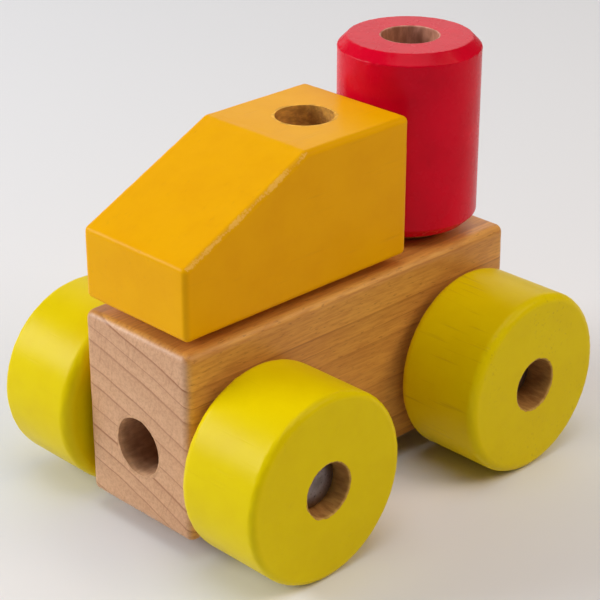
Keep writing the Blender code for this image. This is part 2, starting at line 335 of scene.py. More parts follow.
# Shader steps, each a plain function that adds a node and gives back its output.
def add(tree, kind, inputs=None, output=0, **settings):
    """Adds one shader node. Inputs are numbers, colours, vectors or the outputs of other nodes."""
    made = tree.nodes.new("ShaderNode" + kind)
    for setting, value in settings.items():
        setattr(made, setting, value)
    for socket, value in (inputs or {}).items():
        if isinstance(value, bpy.types.NodeSocket):
            tree.links.new(value, made.inputs[socket])
        else:
            made.inputs[socket].default_value = value
    return made.outputs[output]


def sum_up(tree, operation, first, second=0.0, third=0.0):
    """One step of arithmetic on numbers. MULTIPLY_ADD is the first times the second, plus the third."""
    return add(tree, "Math", {0: first, 1: second, 2: third}, operation=operation)


def vector(tree, operation, first, second):
    """One step of arithmetic on two vectors, X with X, Y with Y and Z with Z."""
    return add(tree, "VectorMath", {0: first, 1: second}, operation=operation)


def length_of(tree, arrow):
    """The length of a vector."""
    return add(tree, "VectorMath", {0: arrow}, output=1, operation="LENGTH")


def rise(tree, value, low, high, to_low=0.0, to_high=1.0):
    """A smooth step: to_low up to the low level, to_high from the high level on, and between them
    3 u squared - 2 u cubed of the way, where u is the value's share of the way from low to high."""
    levels = {"Value": value, "From Min": low, "From Max": high, "To Min": to_low, "To Max": to_high}
    return add(tree, "MapRange", levels, interpolation_type="SMOOTHSTEP")


def noise(tree, where, scale, detail=2.0, rough=0.5, output=0):
    """Cloudy noise around a half, with scale clouds to the metre and finer ones laid over them, each
    half as wide and rough times as strong. Output 0 is one number, and output 1 three."""
    levels = {"Vector": where, "Scale": scale, "Detail": detail, "Roughness": rough}
    return add(tree, "TexNoise", levels, output=output)


def mix(tree, share, first, second):
    """The first colour, moved by a share of the way to the second."""
    return add(tree, "Mix", {0: share, 6: first, 7: second}, output=2, data_type="RGBA")


def new_group(name, inputs, outputs):
    """An empty shader group. Inputs are (name, kind, value) and outputs are (name, kind)."""
    made = bpy.data.node_groups.new(name, "ShaderNodeTree")
    for label, kind, value in inputs:
        socket = made.interface.new_socket(name=label, in_out="INPUT", socket_type="NodeSocket" + kind)
        socket.default_value = value
    for label, kind in outputs:
        made.interface.new_socket(name=label, in_out="OUTPUT", socket_type="NodeSocket" + kind)
    return made, made.nodes.new("NodeGroupInput").outputs, made.nodes.new("NodeGroupOutput").inputs


def use(tree, group, inputs):
    """Places a shader group in a material and gives back its outputs."""
    made = tree.nodes.new("ShaderNodeGroup")
    made.node_tree = group
    for label, value in inputs.items():
        if isinstance(value, bpy.types.NodeSocket):
            tree.links.new(value, made.inputs[label])
        else:
            made.inputs[label].default_value = value
    return made.outputs


def swatch(red, green, blue):
    """The light a swatch gives back, from its 0 to 255 values: each, as a share of 255, is raised to
    the power 2.4 after a small offset, and the darkest are divided by 12.92."""
    shares = np.array([red, green, blue]) / 255
    curved = np.where(shares > 0.04045, ((shares + 0.055) / 1.055) ** 2.4, shares / 12.92)
    return (*curved.tolist(), 1.0)


def wood_figure():
    """The figure of beech about a pith on the group's own Z axis: growth rings at uneven spacing that
    wander, rays that run out from the pith, short flecks along the grain, fibres and broad tones.
    Rings is the thin line at the end of each year, and Years the slow darkening before it."""
    tree, given, gives = new_group(
        "wood_figure",
        [("Vector", "Vector", (0, 0, 0)), ("Spacing", "Float", 0.004), ("Wander", "Float", 0.001)],
        [
            ("Rings", "Float"),
            ("Years", "Float"),
            ("Rays", "Float"),
            ("Flecks", "Float"),
            ("Fibre", "Float"),
            ("Tone", "Float"),
        ],
    )
    slow = vector(tree, "MULTIPLY", given["Vector"], (1, 1, 0.35))
    drift = vector(tree, "SUBTRACT", noise(tree, slow, 55, 3, 0.55, output=1), (0.5, 0.5, 0.5))
    scaled = tree.nodes.new("ShaderNodeVectorMath")
    scaled.operation = "SCALE"
    tree.links.new(drift, scaled.inputs[0])
    tree.links.new(given["Wander"], scaled.inputs["Scale"])
    place = vector(tree, "ADD", given["Vector"], scaled.outputs[0])
    parts = add(tree, "SeparateXYZ", {0: place})
    x, y, z = (parts.node.outputs[k] for k in range(3))
    away = length_of(tree, vector(tree, "MULTIPLY", place, (1, 1, 0)))
    years = sum_up(tree, "DIVIDE", away, given["Spacing"])
    uneven = add(tree, "TexNoise", {"W": years, "Scale": 0.8, "Detail": 1.0}, noise_dimensions="1D")
    years = sum_up(tree, "MULTIPLY_ADD", uneven, 1.1, years)
    share = sum_up(tree, "FRACT", years)
    ended = sum_up(tree, "SUBTRACT", 1.0, rise(tree, share, 0.95, 1.0))
    each = add(tree, "TexWhiteNoise", {"W": sum_up(tree, "FLOOR", years)}, noise_dimensions="1D")
    strength = sum_up(tree, "MULTIPLY_ADD", each, 0.4, 0.6)
    strength = sum_up(tree, "MULTIPLY", strength, ended)
    tree.links.new(sum_up(tree, "MULTIPLY", rise(tree, share, 0.84, 0.95), strength), gives["Rings"])
    tree.links.new(sum_up(tree, "MULTIPLY", rise(tree, share, 0.15, 0.95), strength), gives["Years"])
    rays_at = add(tree, "CombineXYZ", {0: sum_up(tree, "ARCTAN2", y, x), 1: away, 2: z})
    rays_at = vector(tree, "MULTIPLY", rays_at, (260, 110, 420))
    tree.links.new(rise(tree, noise(tree, rays_at, 1.0, 1.0), 0.60, 0.75), gives["Rays"])
    short = vector(tree, "MULTIPLY", given["Vector"], (1, 1, 0.24))
    tree.links.new(rise(tree, noise(tree, short, 2100, 2), 0.60, 0.72), gives["Flecks"])
    fine = vector(tree, "MULTIPLY", given["Vector"], (1, 1, 0.1))
    tree.links.new(noise(tree, fine, 1900, 3, 0.6), gives["Fibre"])
    broad = vector(tree, "MULTIPLY", given["Vector"], (1, 1, 0.35))
    tree.links.new(noise(tree, broad, 90, 3, 0.6), gives["Tone"])
    return tree


def hole_edge():
    """How far a point is outside a round hole: its distance from the hole's axis less the radius.
    Across is 1 for the two axes that lie across the hole, and points further along it than Depth
    from the Centre don't count. Bare is 1 in the hole and on the torn ring round its mouth, Lip is
    1 on that ring alone, and Rim fades out from it over the paint."""
    tree, given, gives = new_group(
        "hole_edge",
        [
            ("Vector", "Vector", (0, 0, 0)),
            ("Centre", "Vector", (0, 0, 0)),
            ("Across", "Vector", (1, 1, 0)),
            ("Radius", "Float", 0.006),
            ("Tear", "Float", 0.001),
            ("Depth", "Float", 0.1),
        ],
        [("Bare", "Float"), ("Lip", "Float"), ("Rim", "Float")],
    )
    offset = vector(tree, "SUBTRACT", given["Vector"], given["Centre"])
    across = vector(tree, "MULTIPLY", offset, given["Across"])
    lengthwise = length_of(tree, vector(tree, "SUBTRACT", offset, across))
    within = rise(tree, sum_up(tree, "SUBTRACT", lengthwise, given["Depth"]), 0.1 * MM, 0.0)
    gap = sum_up(tree, "SUBTRACT", length_of(tree, across), given["Radius"])
    ragged = rise(tree, noise(tree, given["Vector"], 650, 3, 0.6), 0.3, 0.75, 0.45, 1.0)
    reach = sum_up(tree, "MULTIPLY", ragged, given["Tear"])
    over = sum_up(tree, "SUBTRACT", gap, reach)
    bare = sum_up(tree, "MULTIPLY", rise(tree, over, 0.05 * MM, -0.05 * MM), within)
    tree.links.new(bare, gives["Bare"])
    tree.links.new(sum_up(tree, "MULTIPLY", rise(tree, gap, -0.1 * MM, 0.1 * MM), bare), gives["Lip"])
    tree.links.new(sum_up(tree, "MULTIPLY", rise(tree, over, 0.6 * MM, 0.0), within), gives["Rim"])
    return tree


WOOD_FIGURE = wood_figure()
HOLE_EDGE = hole_edge()


def new_finish(name):
    """A material with its tree, its shader and the Object coordinates of the piece."""
    made = bpy.data.materials.new(name)
    made.use_nodes = True
    tree = made.node_tree
    coords = tree.nodes.new("ShaderNodeTexCoord").outputs["Object"]
    return made, tree, tree.nodes["Principled BSDF"].inputs, coords


def along_grain(tree, coords, turn, pith):
    """Turns Object coordinates so that the grain is the figure's Z axis and the pith lies on it."""
    return add(tree, "Mapping", {"Vector": coords, "Rotation": turn, "Location": pith})


GRAIN_Y = (math.pi / 2, 0, 0)
GRAIN_X = (0, -math.pi / 2, 0)
GRAIN_Z = (0, 0, 0)
END_TONE_AS_LIT = swatch(217, 170, 130)
SIDE_TONE_AS_LIT = swatch(235, 176, 86)
RING_TONE = swatch(147, 87, 44)
SIDE_DARK = swatch(178, 108, 48)
RAY_TONE = swatch(140, 84, 40)
END_DARK = swatch(206, 156, 118)
BARE_DARK = swatch(134, 82, 48)
BARE_LIGHT = swatch(176, 118, 76)
SOCKET_PAINTED_SHADE = swatch(92, 50, 10)
YEAR_SPACING = 4.1 * MM
YEAR_WANDER = 1.2 * MM
SOCKET_TEAR = 0.9 * MM


def raw_wood(tree, grain):
    """The colour of bare beech in a drilled hole, with short soft streaks along the grain, and the
    streaks themselves."""
    long = vector(tree, "MULTIPLY", grain, (1, 1, 0.3))
    streaks = rise(tree, noise(tree, long, 900, 3, 0.6), 0.3, 0.75)
    return mix(tree, streaks, BARE_DARK, BARE_LIGHT), streaks


def beech_finish(name, turn, pith, holes=()):
    """Clear satin varnish over beech. The end grain, where the surface faces along the grain, is
    paler and pinker than the side grain and shows the rings as lines; the side grain shows them as
    soft bands. The paler end tone and the deeper orange side tone are partly the wood and partly
    painted light, for how the chassis's front end is lit and how its sides take shade and warm bounce
    light. Drilled holes, each given as its mouth's centre, the axes across it, its radius and its
    depth, are bare and rough, and their wood is darkened towards a deep brown as painted shade."""
    made, tree, shader, coords = new_finish(name)
    grain = along_grain(tree, coords, turn, pith)
    figure = use(tree, WOOD_FIGURE, {"Vector": grain, "Spacing": YEAR_SPACING, "Wander": YEAR_WANDER})
    faces = tree.nodes.new("ShaderNodeTexCoord").outputs["Normal"]
    turned_faces = add(tree, "Mapping", {"Vector": faces, "Rotation": turn}, vector_type="NORMAL")
    along = sum_up(tree, "ABSOLUTE", add(tree, "SeparateXYZ", {0: turned_faces}, output=2))
    ends = rise(tree, along, 0.5, 0.95)
    sides = sum_up(tree, "SUBTRACT", 1.0, ends)
    # The two tones are partly painted light: a pale, pinkish lit look for the end grain and a deeper,
    # warmer orange for the side grain.
    colour = mix(tree, ends, SIDE_TONE_AS_LIT, END_TONE_AS_LIT)
    bands = sum_up(tree, "MULTIPLY", figure["Years"], rise(tree, ends, 0, 1, 0.22, 0.2))
    colour = mix(tree, bands, colour, RING_TONE)
    long = vector(tree, "MULTIPLY", grain, (1, 1, 0.35))
    patchy = rise(tree, noise(tree, long, 130, 2), 0.35, 0.65, 0.1, 0.6)
    patchy = sum_up(tree, "MAXIMUM", patchy, ends)
    colour = mix(tree, sum_up(tree, "MULTIPLY", figure["Rings"], patchy), colour, RING_TONE)
    tone = rise(tree, figure["Tone"], 0.3, 0.7, 0.0, 0.4)
    colour = mix(tree, tone, colour, mix(tree, ends, SIDE_DARK, END_DARK))
    fibre = rise(tree, figure["Fibre"], 0.36, 0.68, 0.0, rise(tree, ends, 0, 1, 0.4, 0.26))
    colour = mix(tree, fibre, colour, mix(tree, ends, SIDE_DARK, RING_TONE))
    rays = sum_up(tree, "MULTIPLY", sum_up(tree, "MULTIPLY", figure["Rays"], ends), 0.2)
    colour = mix(tree, rays, colour, RAY_TONE)
    flecks = sum_up(tree, "MULTIPLY", sum_up(tree, "MULTIPLY", figure["Flecks"], sides), 0.4)
    colour = mix(tree, flecks, colour, RAY_TONE)
    bare, lips = None, 0.0
    for centre, across, radius, depth in holes:
        mouth = {"Centre": centre, "Across": across, "Radius": radius, "Tear": SOCKET_TEAR, "Depth": depth}
        edge = use(tree, HOLE_EDGE, {"Vector": coords, **mouth})
        bare = edge["Bare"] if bare is None else sum_up(tree, "MAXIMUM", bare, edge["Bare"])
        lips = sum_up(tree, "MAXIMUM", lips, edge["Lip"])
    rough = rise(tree, figure["Tone"], 0.3, 0.7, 0.38, 0.46)
    if bare is not None:
        hole_wood, streaks = raw_wood(tree, grain)
        # Painted shade: the bare wood in the holes is pulled well towards a deep brown.
        hole_wood = mix(tree, 0.6, hole_wood, SOCKET_PAINTED_SHADE)
        torn = sum_up(tree, "MULTIPLY", lips, rise(tree, streaks, 0, 1, 0.7, 1))
        hole_wood = mix(tree, torn, hole_wood, END_TONE_AS_LIT)
        colour = mix(tree, bare, colour, hole_wood)
        rough = sum_up(tree, "MAXIMUM", rough, sum_up(tree, "MULTIPLY", bare, 0.85))
    pores = sum_up(tree, "MULTIPLY", figure["Flecks"], -0.3)
    height = sum_up(tree, "MULTIPLY_ADD", figure["Fibre"], 0.5, pores)
    tree.links.new(add(tree, "Bump", {"Height": height, "Distance": 0.04 * MM}), shader["Normal"])
    tree.links.new(colour, shader["Base Color"])
    tree.links.new(rough, shader["Roughness"])
    shader["IOR"].default_value = 1.45
    return made


BLOCK_EDGE = 1.8 * MM
SOCKET_RADIUS = 5.9 * MM
chassis_low, chassis_high = span("chassis_block")
chimney_peg_low, chimney_peg_high = span("chimney_peg")
rod_low, rod_high = span("front_axle")
CHASSIS_TOP = chassis_high[2]
FRONT_SOCKET_HEIGHT = chassis_low[2] + 15.5 * MM
SOCKET_DEPTH = 16.0 * MM
FRONT_SOCKET_DEPTH = 11.0 * MM
ROD_BORE = (rod_high[2] - rod_low[2]) / 2 + 0.1 * MM
ROD_BORE_LENGTH = chassis_high[0] - chassis_low[0] + 2 * MM
ROD_BORE_FLARE = 0.1 * MM
FLOOR_REACH = 1 * MM
AXLE_HEIGHT = (rod_high[2] + rod_low[2]) / 2
AXLE_Y = -(rod_high[1] + rod_low[1]) / 2

chassis_corners = [
    (chassis_low[1], chassis_low[2]),
    (chassis_high[1], chassis_low[2]),
    (chassis_high[1], chassis_high[2]),
    (chassis_low[1], chassis_high[2]),
]
chassis_planes = faces_of(chassis_corners, chassis_low[0], chassis_high[0])
grid, outward = block(chassis_corners, chassis_low[0], chassis_high[0], BLOCK_EDGE)
near_edge = np.clip(1 - edge_gap(grid, chassis_planes) / (3 * MM), 0, 1)
press = 0.02 * MM * wavy(grid, 7 * MM, 11) + 0.03 * MM * near_edge * wavy(grid, 2.5 * MM, 12)
chassis = piece("chassis", skin(grid + press[..., None] * outward))
peg_places = [(0.0, 0.0), (0.0, (chimney_peg_low[1] + chimney_peg_high[1]) / 2)]
socket_mouths = [np.array([x, y, CHASSIS_TOP]) for x, y in peg_places]
front_mouth = np.array([0.0, chassis_low[1], FRONT_SOCKET_HEIGHT])
drilled(
    chassis,
    hole(front_mouth, 1, 1, SOCKET_RADIUS, FRONT_SOCKET_DEPTH, 21),
    hole(socket_mouths[0], 2, -1, SOCKET_RADIUS, SOCKET_DEPTH, 24),
    hole(socket_mouths[1], 2, -1, SOCKET_RADIUS, SOCKET_DEPTH, 27),
    hole((chassis_low[0], -AXLE_Y, AXLE_HEIGHT), 0, 1, ROD_BORE, ROD_BORE_LENGTH, 30, ROD_BORE_FLARE),
    hole((chassis_low[0], AXLE_Y, AXLE_HEIGHT), 0, 1, ROD_BORE, ROD_BORE_LENGTH, 33, ROD_BORE_FLARE),
)
chassis.data.materials.append(
    beech_finish(
        "varnished_beech",
        GRAIN_Y,
        (45 * MM, -130 * MM, 0),
        [
            (front_mouth, (1, 0, 1), SOCKET_RADIUS, FRONT_SOCKET_DEPTH + FLOOR_REACH),
            (socket_mouths[0], (1, 1, 0), SOCKET_RADIUS, SOCKET_DEPTH + FLOOR_REACH),
            (socket_mouths[1], (1, 1, 0), SOCKET_RADIUS, SOCKET_DEPTH + FLOOR_REACH),
        ],
    )
)
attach(chassis, "chassis")
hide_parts("chassis_block")


# ---------------------------------------------------------------------------------------------
# The axles. Two drawn steel rods, pushed through the chassis, with a steel washer against the
# wood on each side so that the wheels don't rub. They are bright steel with fine drawing lines.
# ---------------------------------------------------------------------------------------------
def drawn_steel():
    """Bright steel drawn along X: noise stretched along X makes the lines in its gloss and relief, and
    where broad noise is high it is stained darker."""
    made, tree, shader, coords = new_finish("drawn_steel")
    lines = noise(tree, vector(tree, "MULTIPLY", coords, (0.03, 1, 1)), 5200, 3)
    stain = rise(tree, noise(tree, coords, 320, 3), 0.45, 0.75)
    tree.links.new(mix(tree, stain, (0.56, 0.55, 0.54, 1), (0.36, 0.33, 0.30, 1)), shader["Base Color"])
    tree.links.new(rise(tree, lines, 0.3, 0.7, 0.26, 0.46), shader["Roughness"])
    tree.links.new(add(tree, "Bump", {"Height": lines, "Distance": 0.01 * MM}), shader["Normal"])
    shader["Metallic"].default_value = 1.0
    return made


DRAWN_STEEL = drawn_steel()
ROD_END_EDGE = 0.4 * MM
WASHER_PLAY = 0.1 * MM
WASHER_BORE_EDGE = 0.12 * MM
WASHER_RIM_EDGE = 0.3 * MM
AXLES = {"front": -AXLE_Y, "rear": AXLE_Y}
for end, y in AXLES.items():
    low, high = span(f"{end}_axle")
    reach, radius = high[0], (high[2] - low[2]) / 2
    profile, _ = rounded(
        [(-reach, 0), (-reach, radius), (reach, radius), (reach, 0)],
        [0, ROD_END_EDGE, ROD_END_EDGE, 0],
        0.8 * MM,
        0.15 * MM,
        closed=False,
    )
    rod = piece(f"{end}_rod", skin(turned(profile, 64, (0, y, AXLE_HEIGHT), 0)))
    rod.data.materials.append(DRAWN_STEEL)
    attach(rod, "chassis")
    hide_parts(f"{end}_axle")
    for side in ("left", "right"):
        low, high = span(f"{end}_{side}_washer")
        hub, rim = radius + WASHER_PLAY, (high[2] - low[2]) / 2
        profile, _ = rounded(
            [(low[0], hub), (low[0], rim), (high[0], rim), (high[0], hub)],
            [WASHER_BORE_EDGE, WASHER_RIM_EDGE, WASHER_RIM_EDGE, WASHER_BORE_EDGE],
            0.6 * MM,
            0.1 * MM,
        )
        points = turned(profile, 96, (0, y, AXLE_HEIGHT), 0)
        washer = piece(f"{end}_{side}_steel_washer", skin(points, ring=True))
        washer.data.materials.append(DRAWN_STEEL)
        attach(washer, "chassis")
        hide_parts(f"{end}_{side}_washer")


# ---------------------------------------------------------------------------------------------
# The wheels. Four wide beech wheels, turned, rounded at both rims and painted lemon yellow, each
# with a blind hole in its outer face that is left bare. They turn freely on the rods.
# ---------------------------------------------------------------------------------------------
def write_values(made, name, values):
    """Stores one number per vertex for the materials to read."""
    store = made.data.attributes.new(name, "FLOAT", "POINT")
    store.data.foreach_set("value", np.asarray(values, np.float32))


def paint_finish(name, colour, deep, turn, pith, mouth, across, tear, gloss, sheen, lip, veins):
    """Paint on beech. Its tone is a little deeper where it pooled, and also darker in a soft ring round
    the mouth; the grain stands through it in fine dark lines, as strong as the veins, and torn mouths
    and the edge marks that the piece stores show the wood. On the cab those marks are wear on the
    slope's left edge and, as faint specks on its other edges, partly wear and partly painted highlight.
    The mouth is the centre, the radius and the depth of the piece's hole, and tear is how wide it is torn."""
    made, tree, shader, coords = new_finish(name)
    grain = along_grain(tree, coords, turn, pith)
    pooled = rise(tree, noise(tree, coords, 120, 3, 0.6), 0.3, 0.75)
    base = mix(tree, pooled, colour, deep)
    cracks = noise(tree, vector(tree, "MULTIPLY", grain, (1, 1, 0.05)), 1300, 2)
    patches = rise(tree, noise(tree, grain, 95, 2), 0.38, 0.65)
    cracks = sum_up(tree, "MULTIPLY", rise(tree, cracks, 0.58, 0.76), patches)
    base = mix(tree, sum_up(tree, "MULTIPLY", cracks, veins), base, BARE_DARK)
    centre, radius, depth = mouth
    mouth = {"Centre": centre, "Across": across, "Radius": radius, "Tear": tear, "Depth": depth}
    edge = use(tree, HOLE_EDGE, {"Vector": coords, **mouth})
    base = mix(tree, sum_up(tree, "MULTIPLY", edge["Rim"], 0.5), base, deep)
    # Pale edge marks stored on the piece: wear, and on the cab's other edges partly painted highlight.
    wear_and_edge_highlight = add(tree, "Attribute", output=2, attribute_name="wear_and_edge_highlight")
    crumbs = noise(tree, coords, 2300, 3, 0.7)
    chips_and_edge_highlight = sum_up(tree, "ADD", wear_and_edge_highlight, sum_up(tree, "MULTIPLY_ADD", crumbs, 2.6, -1.3))
    chips_and_edge_highlight = sum_up(tree, "MULTIPLY", rise(tree, chips_and_edge_highlight, 0.3, 0.75), rise(tree, wear_and_edge_highlight, 0.02, 0.25))
    base = mix(tree, chips_and_edge_highlight, base, lip)
    hole_wood, streaks = raw_wood(tree, grain)
    torn = sum_up(tree, "MULTIPLY", edge["Lip"], rise(tree, streaks, 0, 1, 0.55, 1))
    hole_wood = mix(tree, torn, hole_wood, lip)
    base = mix(tree, edge["Bare"], base, hole_wood)
    bare = sum_up(tree, "MAXIMUM", edge["Bare"], chips_and_edge_highlight)
    satin = rise(tree, noise(tree, coords, 200, 3, 0.6), 0.3, 0.7, gloss - 0.015, gloss + 0.015)
    rough = sum_up(tree, "MAXIMUM", satin, sum_up(tree, "MULTIPLY", bare, 0.8))
    sunk = sum_up(tree, "MULTIPLY", cracks, -0.6)
    relief = sum_up(tree, "MULTIPLY_ADD", noise(tree, coords, 520, 4, 0.6), 0.7, sunk)
    under_paint = sum_up(tree, "MULTIPLY_ADD", streaks, 0.8, -1.2)
    relief = sum_up(tree, "MULTIPLY_ADD", bare, under_paint, relief)
    tree.links.new(add(tree, "Bump", {"Height": relief, "Distance": 0.04 * MM}), shader["Normal"])
    tree.links.new(base, shader["Base Color"])
    tree.links.new(rough, shader["Roughness"])
    shader["Specular IOR Level"].default_value = sheen
    shader["IOR"].default_value = 1.5
    return made


WHEEL_RIM = {"front": 1.5 * MM, "rear": 1.9 * MM}
WHEEL_BACK_RIM = 2.4 * MM
RECESS_RADIUS = 5.5 * MM
RECESS_DEPTH = {"front": 5.6 * MM, "rear": 7.6 * MM}
RECESS_EDGE = 0.3 * MM
WHEEL_BORE = 2.7 * MM
BACK_BORE_EDGE = 0.3 * MM
BORE_EDGE = 0.2 * MM
LEMON = swatch(231, 208, 0)
LEMON_DEEP = swatch(227, 202, 0)
LEMON_LIP = swatch(205, 165, 84)
WHEEL_TEAR = 0.5 * MM
TREAD_VEINS = {"front": 0.04, "rear": 0.22}
for number, (end, y) in enumerate(AXLES.items()):
    for side, sign in (("left", 1), ("right", -1)):
        node = f"{end}_{side}_wheel"
        low, high = span(node)
        inner, outer = (low[0], high[0]) if sign > 0 else (high[0], low[0])
        radius = (high[2] - low[2]) / 2
        floor = outer - sign * RECESS_DEPTH[end]
        seed = 100 + 20 * number + 7 * (sign > 0)
        profile, _ = rounded(
            [
                (inner, WHEEL_BORE),
                (inner, radius),
                (outer, radius),
                (outer, RECESS_RADIUS),
                (floor, RECESS_RADIUS),
                (floor, WHEEL_BORE),
            ],
            [BACK_BORE_EDGE, WHEEL_BACK_RIM, WHEEL_RIM[end], RECESS_EDGE, RECESS_EDGE, BORE_EDGE],
            0.9 * MM,
            0.25 * MM,
        )
        hub = (0, y, AXLE_HEIGHT)
        points = turned(profile, 240, hub, 0)
        mouth = np.hypot(profile[:, 0] - outer, profile[:, 1] - RECESS_RADIUS)[:, None]
        near = np.exp(-mouth / (0.5 * MM))
        torn = 0.35 + 0.6 * wavy(points, 1.8 * MM, seed) + 0.4 * wavy(points, 0.8 * MM, seed + 1)
        torn = np.clip(torn, 0, 1.5)
        rims = [np.hypot(profile[:, 0] - x, profile[:, 1] - radius)[:, None] for x in (inner, outer)]
        crest = np.clip(1 - (np.minimum(*rims) - 0.85 * MM) / (1.6 * MM), 0, 1)
        uneven = 0.06 * MM * near * torn + 0.04 * MM * crest * wavy(points, 1.6 * MM, seed + 2)
        uneven = uneven + 0.012 * MM * wavy(points, 9 * MM, seed + 3)
        points = points + uneven[..., None] * outwards(points, hub, 0)
        wheel = piece(f"{node}_body", skin(points, ring=True))
        write_values(wheel, "wear_and_edge_highlight", np.zeros(uneven.size))
        pith = (30 * MM, 17 * MM * (number + 1), 5 * MM * sign)
        recess = ((outer, y, AXLE_HEIGHT), RECESS_RADIUS, RECESS_DEPTH[end] + FLOOR_REACH)
        wheel.data.materials.append(
            paint_finish(
                f"lemon_paint_{end}_{side}",
                LEMON,
                LEMON_DEEP,
                GRAIN_X,
                pith,
                recess,
                across=(0, 1, 1),
                tear=WHEEL_TEAR,
                gloss=0.33,
                sheen=0.08,
                lip=LEMON_LIP,
                veins=TREAD_VEINS[end],
            )
        )
        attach(wheel, node)
        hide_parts(node)


# ---------------------------------------------------------------------------------------------
# The caps. Domed spring-steel caps, pushed onto the rod ends down in the wheels' blind holes, where
# they hold the wheels on. Their plating is dull and grey, with a rolled rim.
# ---------------------------------------------------------------------------------------------
def dull_plating():
    """Dull grey plating: broad noise takes it from pale and smooth to dark and rough, and where fine
    noise is high there are darker specks."""
    made, tree, shader, coords = new_finish("dull_plating")
    cloud = rise(tree, noise(tree, coords, 260, 4, 0.65), 0.35, 0.7)
    specks = rise(tree, noise(tree, coords, 1900, 3), 0.6, 0.72)
    colour = mix(tree, cloud, (0.27, 0.23, 0.235, 1), (0.17, 0.14, 0.13, 1))
    tree.links.new(mix(tree, specks, colour, (0.10, 0.08, 0.07, 1)), shader["Base Color"])
    tree.links.new(rise(tree, cloud, 0, 1, 0.4, 0.52), shader["Roughness"])
    tree.links.new(add(tree, "Bump", {"Height": cloud, "Distance": 0.02 * MM}), shader["Normal"])
    shader["Metallic"].default_value = 1.0
    return made


DULL_PLATING = dull_plating()
CAP_SKIRT = 0.9 * MM
CAP_WALL = 0.6 * MM
for end, y in AXLES.items():
    for side, sign in (("left", 1), ("right", -1)):
        node = f"{end}_{side}_cap"
        low, high = span(node)
        foot, crown = (low[0], high[0]) if sign > 0 else (high[0], low[0])
        radius = (high[2] - low[2]) / 2
        shoulder = foot + sign * CAP_SKIRT
        sweep = np.linspace(0, np.pi / 2, 24)
        dome = np.stack([shoulder + (crown - shoulder) * np.sin(sweep), radius * np.cos(sweep)], axis=1)
        dome[-1, 1] = 0
        hollow = np.stack(
            [
                shoulder + (crown - shoulder - sign * CAP_WALL) * np.sin(sweep[::-1]),
                (radius - CAP_WALL) * np.cos(sweep[::-1]),
            ],
            axis=1,
        )
        hollow[0, 1] = 0
        curl = np.linspace(0, np.pi, 10)[1:-1]
        lip = radius - CAP_WALL / 2 - CAP_WALL / 2 * np.cos(curl)
        rim = np.stack([foot + sign * CAP_WALL / 2 * (1 - np.sin(curl)), lip], axis=1)
        profile = np.concatenate([hollow, rim, dome])
        cap = piece(f"{node}_cup", skin(turned(profile, 96, (0, y, AXLE_HEIGHT), 0)))
        cap.data.materials.append(DULL_PLATING)
        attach(cap, "chassis")
        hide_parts(node)


# ---------------------------------------------------------------------------------------------
# The pegs. Two turned beech dowels with a collar, one in each top socket. The blocks stand on the
# collars and can be turned and lifted off. Their ends are chamfered and their wood is left clear.
# ---------------------------------------------------------------------------------------------
COLLAR_RADIUS = 9.0 * MM
PEG_RADIUS = 5.75 * MM
PEG_END_EDGE = 1.0 * MM
COLLAR_EDGE = 0.4 * MM
COLLAR_FOOT = 0.1 * MM
COLLAR_THICKNESS = 1.8 * MM
SEAT_GAP = 0.3 * MM
collar_bottom = CHASSIS_TOP + SEAT_GAP
collar_top = collar_bottom + COLLAR_THICKNESS
for node, (x, y) in (("cab_peg", peg_places[0]), ("chimney_peg", peg_places[1])):
    low, high = span(node)
    profile, _ = rounded(
        [
            (low[2], 0),
            (low[2], PEG_RADIUS),
            (collar_bottom, PEG_RADIUS),
            (collar_bottom, COLLAR_RADIUS),
            (collar_top, COLLAR_RADIUS),
            (collar_top, PEG_RADIUS),
            (high[2], PEG_RADIUS),
            (high[2], 0),
        ],
        [0, PEG_END_EDGE, COLLAR_FOOT, COLLAR_EDGE, COLLAR_EDGE, COLLAR_FOOT, PEG_END_EDGE, 0],
        0.6 * MM,
        0.2 * MM,
        closed=False,
    )
    peg = piece(f"{node}_dowel", skin(turned(profile, 128, (x, y, 0), 2)))
    peg.data.materials.append(beech_finish(f"{node}_beech", GRAIN_Z, (25 * MM, 14 * MM, 0)))
    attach(peg, node)
    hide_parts(node)


# ---------------------------------------------------------------------------------------------
# The cab block. Beech sawn to a wedge nose, edges eased, sprayed orange-yellow and bored through
# from the roof. Its left slope edge is rubbed to the wood, faint pale specks on its other edges are
# partly wear and partly painted highlight, and the bore is bare with a torn mouth.
# ---------------------------------------------------------------------------------------------
CAB_EDGE = 1.3 * MM
CAB_NOSE = 14.7 * MM
CAB_ROOF = 28.0 * MM
cab_low, cab_high = span("cab_block")
cab_corners = [
    (cab_low[1], cab_low[2]),
    (cab_high[1], cab_low[2]),
    (cab_high[1], cab_high[2]),
    (cab_high[1] - CAB_ROOF, cab_high[2]),
    (cab_low[1], cab_low[2] + CAB_NOSE),
]
SLOPE, LEFT_SIDE = 3, 5
ROUND_DEPTH = 0.72 * MM
EDGE_MARK_REACH = 0.3 * MM
cab_planes = faces_of(cab_corners, cab_low[0], cab_high[0])


def vertices_of(made):
    """The places of a piece's vertices, a row of X, Y and Z for each."""
    flat = np.empty(len(made.data.vertices) * 3, np.float32)
    made.data.vertices.foreach_get("co", flat)
    return flat.reshape(-1, 3).astype(float)


